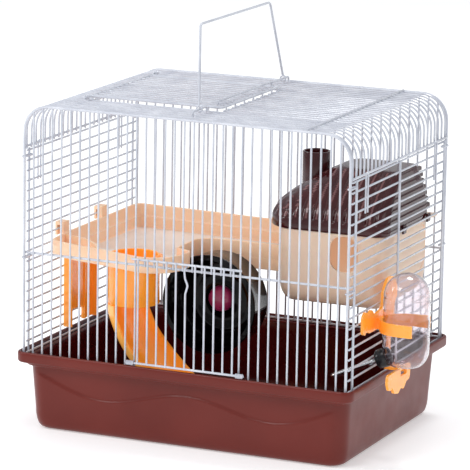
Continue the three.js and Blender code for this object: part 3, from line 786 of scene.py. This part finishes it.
def ribbed(outline, depth):
    """The outline as round ribs that climb each side of the roof square to its eave, with creases between."""
    result = []
    count = len(outline)
    for index, (x, y) in enumerate(outline):
        before, after = Vector(outline[index - 1]), Vector(outline[(index + 1) % count])
        forward = (after - before).normalized()
        along = y if abs(forward.y) > abs(forward.x) else x
        groove = 1 - math.sqrt(1 - (0.97 * from_crest(along)) ** 2)
        groove *= clamped((ROOF_CROWN[1] - 1 - x) / 4)
        result.append((x - forward.y * depth * groove, y + forward.x * depth * groove))
    return result


def crest_with_painted_highlight(face, width=0.17):
    """Whether a face of the roof lies along the crest of a rib, where a lighter brown is painted as a
    highlight.
    """
    x, y, z = face.center / MM
    along = y if abs(face.normal.x) > abs(face.normal.y) else x
    sloping = 0.02 < face.normal.z < 0.97 and ROOF_SKIRT + 2 < z < ROOF_TOP - 1 and x < ROOF_CROWN[1] - 2
    return sloping and from_crest(along) < width


def make_house_roof():
    fine, wall, deepest = 110, 4, 3.4
    rings = [[at(x, y, ROOF_TOP) for x, y in roof_outline(1, inset, straights=fine)] for inset in (9, 2)]
    for share, climb in reversed(roof_profile()):
        z = ROOF_SKIRT + (ROOF_TOP - ROOF_SKIRT) * climb - 0.2
        depth = deepest * min(1, climb * 18) * (1 if share < 0.9 else (1 - share) / 0.1)
        rings.append([at(x, y, z) for x, y in ribbed(roof_outline(share, 0.2, straights=fine), depth)])
    for inset, z in ((0.2, 199.5), (0, 198.6), (0, 193.9), (0.6, ROOF_BASE), (2, ROOF_BASE)):
        rings.append([at(x, y, z) for x, y in roof_outline(0, inset, straights=fine)])
    for share, climb in ROOF_PROFILE[:-1]:
        z = ROOF_SKIRT + (ROOF_TOP - wall - ROOF_SKIRT) * climb
        rings.append([at(x, y, z) for x, y in roof_outline(share, 5, straights=fine)])
    rings.append([at(x, y, ROOF_TOP - wall) for x, y in roof_outline(1, 9, straights=fine)])
    shell = built("house_roof_shell", BROWN, loft, rings)
    # The rib crests get a lighter brown: a painted highlight.
    paint(shell, BROWN_PAINTED_HIGHLIGHT, crest_with_painted_highlight)
    finish(shell, "house_lid", "house_roof", sharp=60)
    # Louvres on the upright right side.
    form = bmesh.new()
    louvres, pitch, lean = 7, 6, 0.7
    for row in range(louvres):
        z = 203 + pitch * row
        x = 155.2 - lean * row
        profile = [(x, z), (x + 0.9, z + 0.6), (x + 0.7, z + 3.6), (x - 1.8, z + 4.4), (x - 2.8, z)]
        front, back = 21 + 0.5 * row * row, 92 - 2.2 * row
        loft(form, [[at(a, y, b) for a, b in profile] for y in (front, back)])
    vents = as_object("house_roof_louvres", form, VENT)
    bevel(vents, 0.35)
    finish(vents, "house_lid")


def make_chimney():
    x0, x1, y0, y1, _, top = box_of("chimney")
    x, y = (x0 + x1) / 2, (y0 + y1) / 2
    radius, wall, foot = 13, 2.2, 216
    profile = [
        (radius, foot), (radius, top - 0.9), (radius - 0.3, top - 0.2), (radius - 1.1, top),
        (radius - wall + 0.2, top - 0.4), (radius - wall, top - 1.2), (radius - wall, foot), (radius, foot),
    ]
    chimney = built("chimney_pipe", BROWN, lathe, profile, at(x, y, 0), UP)
    # A cross of two thin plates stands in the pipe.
    half, thin = radius - 1, 0.9
    for a, b in ((half, thin), (thin, half)):
        join(chimney, block, x - a, x + a, y - b, y + b, foot, top - 2.4)
    # The pipe ends inside the roof's shell.
    carve(chimney, loft, [
        [at(a, b, ROOF_SKIRT + (ROOF_TOP - ROOF_SKIRT) * climb) for a, b in roof_outline(share, 2.6)]
        for share, climb in roof_profile()
    ])
    finish(chimney, "house_lid", "chimney")
    for end in ("front", "back"):
        node = "house_clip_" + end
        clip = built(node + "_knob", BROWN, block, *box_of(node))
        bevel(clip, 0.6, 3)
        finish(clip, "house_lid", node)


# ---- upper floor
# (x, y, corner radius) round the rim: a cut-off corner, a bay for the wheel, a bridge to the house.
FLOOR_EDGE = [
    (-156, -46, 6), (-153, -78, 10), (-145, -84, 6), (-120, -93, 20), (-98, -97, 20), (-84, -101, 16),
    (-62, -107, 16), (-48, -111, 10), (-36, -109, 12), (-24, -101, 12), (-17, -86, 14), (-16, -70, 12),
    (-19, -62, 6), (-34, -57, 6), (-34, -14, 8), (-25, -7, 6), (-15, -4, 8), (60, -4, 1), (60, 100, 1),
    (-150, 112, 6), (-156, 106, 6),
]
BASIN_EDGE = [
    (-154.4, -44, 4), (-45, -44, 6), (-45, -18, 8), (-27, -4, 6), (60, -4, 1), (60, 98.4, 1),
    (-149.4, 110.4, 4), (-154.4, 105, 4),
]
DISH_WALL = [(-155, -49), (-138, -55), (-125, -61), (-110, -76), (-103, -86), (-98, -96)]
FLOOR_RIM = 172.5
SHALLOW = (157.5, 160)
BASIN = (147.5, 150)


def pulled_in(corners, distance):
    """Corners with radii, moved inwards; a hollow corner's radius grows and a bulging one's shrinks."""
    result = []
    count = len(corners)
    for index, (x, y, radius) in enumerate(corners):
        before, after = corners[index - 1], corners[(index + 1) % count]
        first = Vector((x - before[0], y - before[1])).normalized()
        second = Vector((after[0] - x, after[1] - y)).normalized()
        normal = Vector((-first.y, first.x))
        middle = Vector((-first.y - second.y, first.x + second.x)).normalized()
        reach = distance / max(middle.dot(normal), 0.4)
        bulging = first.x * second.y - first.y * second.x > 0
        radius = max(radius - distance, 0.6) if bulging else radius + distance
        result.append((x + middle.x * reach, y + middle.y * reach, radius))
    return result


def rounded_polygon(corners, steps=6):
    """Outline pairs of a polygon whose corners each have a radius."""
    outline = []
    count = len(corners)
    points = [Vector((x, y, 0)) * MM for x, y, _ in corners]
    for index in range(count):
        before, after = points[index - 1], points[(index + 1) % count]
        arc = rounded_corner(before, points[index], after, corners[index][2] * MM, steps)
        outline += [(point.x / MM, point.y / MM) for point in arc]
    return outline


def stacked(form, corners, levels):
    """A body through the polygon pulled in by different amounts at different heights."""
    loft(form, [[at(x, y, z) for x, y in rounded_polygon(pulled_in(corners, inset))] for inset, z in levels])


def make_floor():
    form = bmesh.new()
    low, top = SHALLOW[0], FLOOR_RIM
    edge_levels = [(1.4, low), (0.4, low + 0.4), (0, low + 1.4), (0, top - 1), (0.3, top - 0.3), (0.9, top)]
    stacked(form, FLOOR_EDGE, edge_levels)
    tray = as_object("platform_floor", form, PEACH)
    deep = BASIN[0]
    join(tray, stacked, BASIN_EDGE, [(1.6, deep), (0.5, deep + 0.5), (0, deep + 1.6), (0, low + 1)])
    floor = SHALLOW[1]
    inside = [
        (3.8, floor), (2.9, floor + 0.8), (2.4, floor + 2), (2.3, top - 1), (2, top - 0.3), (1.3, top + 0.2),
        (1.3, top + 4),
    ]
    carve(tray, stacked, FLOOR_EDGE, inside)
    deep = BASIN[1]
    carve(tray, stacked, BASIN_EDGE, [(4.4, deep), (3, deep + 0.8), (2.4, deep + 2.4), (2.4, floor + 2)])
    thick = [(x + 1.4, y + 1.4) for x, y in reversed(DISH_WALL)]
    join(tray, slab, DISH_WALL + thick, floor - 1, top - 1, at)
    ring = corner_arc((CHUTE_X, CHUTE_Y), CHUTE_R + 0.3, 0, 352.5, 47)
    carve(tray, slab, ring, 140, 180, at)
    carve(tray, slab, house_outline(-0.6), 100, 200, at)
    for y in (-44, 38):
        hook = [
            (-155, 168.5), (-155, 182.6), (-163.4, 182.6), (-163.4, 170), (-161.6, 170), (-161.6, 179.6),
            (-158.4, 179.6), (-158.4, 168.5),
        ]
        join(tray, slab, hook, y - 6, y + 6, facing_front)
    # The upward floor faces get a paler peach: painted light on the platform's top.
    paint(tray, PEACH_PAINTED_TOPLIGHT, lambda face: face.normal.z > 0.9 and face.center.z < (floor + 1) * MM)
    finish(tray, CAGE, "platform", sharp=38)


def make_leg():
    _, _, y0, y1, foot, top = box_of("platform_leg")
    # The notch in its foot: middle, half width, height and corner radius.
    middle, half, notch, round_off = -19, 14.5, 14, 5
    level = foot + notch - round_off
    arch = corner_arc((middle + half - round_off, level), round_off, 0, 90, 6)
    arch += corner_arc((middle - half + round_off, level), round_off, 90, 90, 6)
    outline = [(y1, foot), (y1, top), (y0, top), (y0, foot), (middle - half, foot)]
    outline += arch[::-1] + [(middle + half, foot)]
    leg = built("platform_leg_plate", ORANGE, slab, outline, -158.2, -155.8, facing_side)
    for y in (y0, y1 - 2.4):
        join(leg, block, -158.2, -150, y, y + 2.4, foot, top)
    for y, base in ((middle - half - 2.4, foot), (middle + half + 0.6, foot)):
        join(leg, block, -156.2, -154.6, y, y + 1.8, base, top)
    seam = middle + half - 2
    carve(leg, block, -156.4, -155, seam, seam + 0.8, foot + notch + 8, top - 2)
    bevel(leg, 0.4, 2)
    finish(leg, CAGE, "platform_leg")


# ---- chute
CHUTE_X, CHUTE_Y, CHUTE_R, CHUTE_WALL = -74, -66, 24, 2.2


def smooth_path(points, steps):
    """A Catmull-Rom curve through points."""
    padded = [points[0] * 2 - points[1]] + points + [points[-1] * 2 - points[-2]]
    path = []
    for p0, p1, p2, p3 in zip(padded, padded[1:], padded[2:], padded[3:]):
        for step in range(steps):
            t = step / steps
            path.append(
                0.5 * (2 * p1 + (p2 - p0) * t + (2 * p0 - 5 * p1 + 4 * p2 - p3) * t * t
                       + (3 * p1 - p0 - 3 * p2 + p3) * t ** 3)
            )
    return path + [points[-1]]


def make_chute():
    x, y, radius, wall = CHUTE_X, CHUTE_Y, CHUTE_R, CHUTE_WALL
    profile = [
        (radius - wall, 118.8), (radius - 0.4, 118.4), (radius, 118.9), (radius, 160.3),
        (radius + 3.6, 160.3), (radius + 4, 160.7), (radius + 4, 161.5), (radius + 3.5, 162),
        (radius + 0.5, 162.1), (radius, 162.6), (radius, 163.6), (radius - 0.5, 164.2), (radius - 1.6, 164.2),
        (radius - wall, 163.6), (radius - wall, 118.8),
    ]
    finish(built("chute_collar_ring", ORANGE, lathe, profile, at(x, y, 0), UP, 56), CAGE, "chute_collar")
    knots = [(x, 118), (x + 1, 110), (x + 12, 88), (x + 31, 66), (x + 52, 46), (x + 70, 29)]
    path = smooth_path([at(a, y, b) for a, b in knots], 7)
    # The channel's section: its outside, a rolled edge, its inside and the other rolled edge.
    first, sweep, steps, rolled = -8, 163, 22, 1.0
    section = corner_arc((0, 0), radius, first, sweep, steps)
    inner = corner_arc((0, 0), radius - wall, first, sweep, steps)[::-1]
    for turn, lean, side in ((first + sweep, -0.1, inner), (first, 0.1, [])):
        a, b = corner_arc((0, 0), radius - wall / 2, turn, 0, 1)[0]
        section += [(a + rolled * lean, b - rolled)] + side
    rings = []
    for index, point in enumerate(path):
        forward = path[min(index + 1, len(path) - 1)] - path[max(index - 1, 0)]
        forward.normalize()
        outer = Vector((0, 1, 0)).cross(forward)
        if outer.x > 0:
            outer.negate()
        rings.append([point + Vector((0, a, 0)) * MM + outer * b * MM for a, b in section])
    slide = built("chute_slide_channel", ORANGE, loft, rings)
    # The outside of the channel comes first in each ring of faces; it gets a lighter, yellower orange with a
    # stronger glow, painted light.
    paint(slide, ORANGE_PAINTED_LIGHT, lambda face: face.index % len(section) < steps)
    finish(slide, CAGE, "chute_slide", sharp=50)


# ---- wheel
def make_wheel():
    x0, x1, front, back, z0, z1 = box_of("wheel_drum")
    x, z = (x0 + x1) / 2, (z0 + z1) / 2
    depth, flange, wall = back - front, (z1 - z0) / 2, 2
    origin = at(x, back, z)
    drum = flange - 1.7
    profile = [
        (4.4, 0.6), (12, 0.6), (13, 0), (24, 0), (25, 0.8), (36, 0.8), (37, 0), (drum - 1.5, 0), (drum, 1.2),
        (drum, depth - 4.6), (drum + 0.6, depth - 3.4), (flange - 0.6, depth - 3), (flange, depth - 2.2),
        (flange, depth - 0.8), (flange - 0.7, depth), (drum - wall - 1, depth),
        (drum - wall - 0.4, depth - 0.6), (drum - wall, depth - 1.6), (drum - wall, 3.6),
        (drum - wall - 1, 2.6), (36, 2.5), (35, 3.2), (26, 3.2), (25, 2.5), (14, 2.5), (13, 3.2), (4.4, 3.2),
        (4.4, 0.6),
    ]
    form = bmesh.new()
    lathe(form, profile, origin, FRONT, 96)
    treads = 36
    for turn in turns(treads):
        side = Vector((math.cos(turn), 0, math.sin(turn)))
        tangent = Vector((-math.sin(turn), 0, math.cos(turn)))
        corners = [(drum - a, b) for a, b in ((1.8, -0.7), (1.8, 0.7), (3, 0.45), (3, -0.45))]
        rings = []
        for along in (3.4, depth - 2.4):
            spot = origin + FRONT * along * MM
            rings.append([spot + (side * a + tangent * b) * MM for a, b in corners])
        loft(form, rings)
    shell = as_object("wheel_drum_shell", form, SMOKED)
    paint(shell, SMOKED_DISC, lambda face: abs(face.normal.y) > 0.6)
    finish(shell, "wheel", "wheel_drum")

    def ripple(turn, along):
        return 1 + 0.022 * clamped(along / 2) * (abs(math.sin(8 * turn)) ** 0.6 - 0.5)

    cap = [
        (0.02, 0), (11.8, 0), (12.2, 0.6), (12.2, 3.6), (11.6, 5.4), (10.2, 7.2), (8, 8.6), (5, 9.5),
        (0.02, 9.9),
    ]
    form = bmesh.new()
    hub_back = box_of("wheel_hub")[3]
    lathe(form, cap, at(x, hub_back, z), FRONT, 128, ripple)
    piece("wheel_hub_cap", form, MAGENTA, "wheel", "wheel_hub")
    _, _, front, back, _, _ = box_of("wheel_axle")
    length = back - front
    pin = [(0.02, 0), (3.6, 0), (3.6, length - 0.6), (3.0, length), (0.02, length)]
    finish(built("wheel_axle_pin", BLACK, lathe, pin, at(x, back, z), FRONT, 32), CAGE, "wheel_axle")
    _, _, front, back, _, _ = box_of("wheel_hanger")
    corners = [(x - 9, z - 10, 8), (x + 9, z - 10, 8), (x + 10.4, 160, 1.5), (x - 10.4, 160, 1.5)]
    hanger = built("wheel_hanger_plate", SMOKED, slab, rounded_polygon(corners), front, back, facing_front)
    bevel(hanger, 0.5, 3)
    finish(hanger, CAGE, "wheel_hanger")


# ---- water bottle
BOTTLE_Y = -58


def make_bottle():
    x0, x1, _, _, bottom, top = box_of("bottle")
    x, radius, flat_foot, swell, wall = (x0 + x1) / 2, (x1 - x0) / 2, 8, 17, 0.9
    outside = [(0.02, bottom), (flat_foot, bottom)]
    for step in range(1, 11):
        turn = step / 10 * math.pi / 2
        r = flat_foot + (radius - flat_foot) * math.sin(turn)
        outside.append((r, bottom + swell * (1 - math.cos(turn))))
    # Two shallow grooves round the bottle.
    for z in (132, 150):
        outside += [(radius, z - 1.2), (radius - 0.5, z - 0.5), (radius - 0.5, z + 0.5), (radius, z + 1.2)]
    for step in range(14):
        turn = step / 14 * math.pi / 2
        outside.append((radius * math.cos(turn), top - radius * (1 - math.sin(turn))))
    outside.append((0.02, top))
    bottle = built("bottle_shell", CLEAR, lathe, outside, at(x, BOTTLE_Y, 0), UP, 64)
    middle = (bottom + top) / 2
    inside = []
    for r, z in outside:
        shrink = wall * (1 if z > middle else -1)
        inside.append((max(r - wall, 0.02), z - shrink * max(0, 1 - r / radius)))
    carve(bottle, lathe, inside, at(x, BOTTLE_Y, 0), UP, 64)
    # The cap, its hole and the tube lie along a tilted line.
    tilt = math.radians(25)
    outwards = Vector((math.cos(tilt), 0, math.sin(tilt)))
    root = at(169.5, BOTTLE_Y, 91.4)
    carve(bottle, lathe, [(0.02, -6), (9.3, -6), (9.3, 8.3), (0.02, 8.3)], root, outwards, 40)
    finish(bottle, "water_bottle", "bottle")

    def knurl(turn, along):
        return 1 + 0.02 * (abs(math.sin(16 * turn)) - 0.5) * (1 if -1.5 < along < 6.5 else 0)

    cap = [
        (0.02, -4.5), (4.6, -4.5), (5, -4.3), (7.4, -3.6), (8.2, -3), (8.7, -2), (8.7, 2.4), (8.9, 2.6),
        (8.9, 6.8), (8.5, 7.6), (7.6, 8), (0.02, 8),
    ]
    ribbed_cap = built("bottle_cap_ribbed", BLACK, lathe, cap, root, outwards, 128, knurl)
    finish(ribbed_cap, "water_bottle", "bottle_cap")
    tube = [
        (0.9, -4.8), (2.5, -4.8), (2.5, -44), (2.45, -49), (2.3, -51.4), (1.9, -52), (1.4, -51.6), (1.3, -50),
        (0.9, -49), (0.9, -4.8),
    ]
    steel_tube = built("drinking_tube_steel", STEEL, lathe, tube, root, outwards, 40)
    finish(steel_tube, "water_bottle", "drinking_tube")
    mouth = Matrix.Translation(root - outwards * 51 * MM)
    form = bmesh.new()
    bmesh.ops.create_icosphere(form, subdivisions=3, radius=1.25 * MM, matrix=mouth)
    piece("drinking_ball", form, STEEL, "water_bottle")


def make_bracket():
    x, y = 192.5, BOTTLE_Y
    plate_x = (163.5, 166)
    low, high = 119, 130
    tongue, tongue_z = (y + 22.5, y + 30), 76
    wing = rounded_polygon([
        (y - 38, 122, 4), (y - 33, 119, 3), (y - 27, 123, 4), (y - 22, 119, 2), (y + 22, 119, 2),
        (y + 38, 119, 4), (y + 38, 136, 3), (y + 44, 140, 4), (y + 44, 150, 10), (y + 34, 161, 9),
        (y + 20, 161, 9), (y + 10, 150, 10), (y + 9, 136, 5), (y - 10, 133, 6), (y - 18, 141, 5),
        (y - 25, 136, 4), (y - 31, 141, 4), (y - 38, 137, 5),
    ])
    bracket = built("bottle_bracket_clip", ORANGE, slab, wing, *plate_x, facing_side)
    inner, outer, tip = 21.9, 24.3, 206.5
    clip = [(tip, y - outer), (tip, y - inner)]
    clip += corner_arc((x, y), inner, 270, -180, 24)
    clip += [(tip, y + inner), (tip, y + outer)]
    clip += corner_arc((x, y), outer, 90, 180, 24)
    join(bracket, slab, clip, low, high, at)
    join(bracket, block, plate_x[0] + 1, x - inner - 1, y - 5, y + 5, low + 0.4, high - 0.4)
    join(bracket, block, plate_x[0] + 0.2, plate_x[1] - 0.2, *tongue, tongue_z, low + 3)
    join(bracket, block, plate_x[0] + 0.2, 186, *tongue, tongue_z, tongue_z + 2.4)
    leaf = rounded_polygon([
        (y - 26, 83, 3), (y - 27, 75, 4), (y - 22, 67, 4), (y - 15, 70, 3), (y - 10, 63, 4), (y, 61, 5),
        (y + 7, 65, 3), (y + 13, 62, 4), (y + 20, 68, 4), (y + 28, 69, 4), (y + 30, 83, 3),
    ])
    join(bracket, slab, leaf, 184, 186.5, facing_side)
    slot = rounded_rectangle(y + 5, y + 20, 75.5, 81, 1.2)
    carve(bracket, slab, slot, 180, 190, facing_side)
    bevel(bracket, 0.5, 2)
    finish(bracket, CAGE, "bottle_bracket")


# ---- stage
def make_stage():
    surface, tree, shader = nodes_of("pale_floor")
    tone = ramp(tree, noise(tree, 3, 3), [(0.3, (0.9, 0.9, 0.9)), (0.7, (0.93, 0.93, 0.93))])
    tree.links.new(tone, shader.inputs["Base Color"])
    fill(shader, {"Roughness": 0.7, "Emission Color": (1, 1, 1, 1), "Emission Strength": 0.35})
    form = bmesh.new()
    size, below = 14, -0.0006
    corners = [(-size, -size), (size, -size), (size, size), (-size, size)]
    form.faces.new([form.verts.new((a, b, below)) for a, b in corners])
    as_object("studio_floor", form, surface)
    world = bpy.data.worlds.new("studio_world")
    world.use_nodes = True
    fill(world.node_tree.nodes["Background"], {"Color": (0.93, 0.96, 1.0, 1), "Strength": 0.62})
    bpy.context.scene.world = world

    def area(name, place, target, size, energy):
        light = bpy.data.lights.new(name, "AREA")
        light.shape = "RECTANGLE"
        light.size, light.size_y = size
        light.energy = energy
        obj = bpy.data.objects.new(name, light)
        bpy.context.scene.collection.objects.link(obj)
        obj.location = place
        obj.rotation_euler = (Vector(target) - Vector(place)).to_track_quat("-Z", "Y").to_euler()

    area("key_light", (-1.3, -2.2, 2.4), (0, 0, 0.15), (1.4, 1.0), 31)
    area("fill_light", (2.4, -0.9, 1.5), (0, 0, 0.15), (1.2, 1.2), 5)
    area("top_light", (0.2, 0.9, 2.6), (0, 0, 0.2), (0.7, 0.5), 18)
    area("side_strip", (-2.4, -1.1, 1.3), (0, 0, 0.15), (0.3, 1.2), 14)


def make_camera():
    azimuth, elevation, roll = (math.radians(angle) for angle in (23.65, 12.11, 0.985))
    back = Vector((
        math.sin(azimuth) * math.cos(elevation), -math.cos(azimuth) * math.cos(elevation), math.sin(elevation)
    ))
    level = UP.cross(back).normalized()
    over = back.cross(level)
    right = level * math.cos(roll) + over * math.sin(roll)
    up = over * math.cos(roll) - level * math.sin(roll)
    place = Vector((1.2516, -2.8623, 0.8471))
    data = bpy.data.cameras.new("main_camera")
    data.lens = 263.4
    data.sensor_width = 36
    data.clip_end = 100
    camera = bpy.data.objects.new("main_camera", data)
    bpy.context.scene.collection.objects.link(camera)
    rotation = Matrix((right, up, back)).transposed().to_4x4()
    camera.matrix_world = Matrix.Translation(place) @ rotation
    bpy.context.scene.camera = camera
    bpy.context.scene.view_settings.view_transform = "Standard"


make_camera()
make_stage()
make_tray()
make_end_panel("front_panel", -HALF_Y, 167, 1, FRONT_DOOR)
make_end_panel("back_panel", HALF_Y, 158, -1)
make_side_panel("left_panel", -HALF_X)
make_side_panel("right_panel", HALF_X)
make_corner_rings()
make_roof()
make_roof_clips()
make_hinge_coils()
make_front_door()
make_roof_door()
make_handle()
make_house()
make_house_roof()
make_chimney()
make_floor()
make_leg()
make_chute()
make_wheel()
make_bottle()
make_bracket()
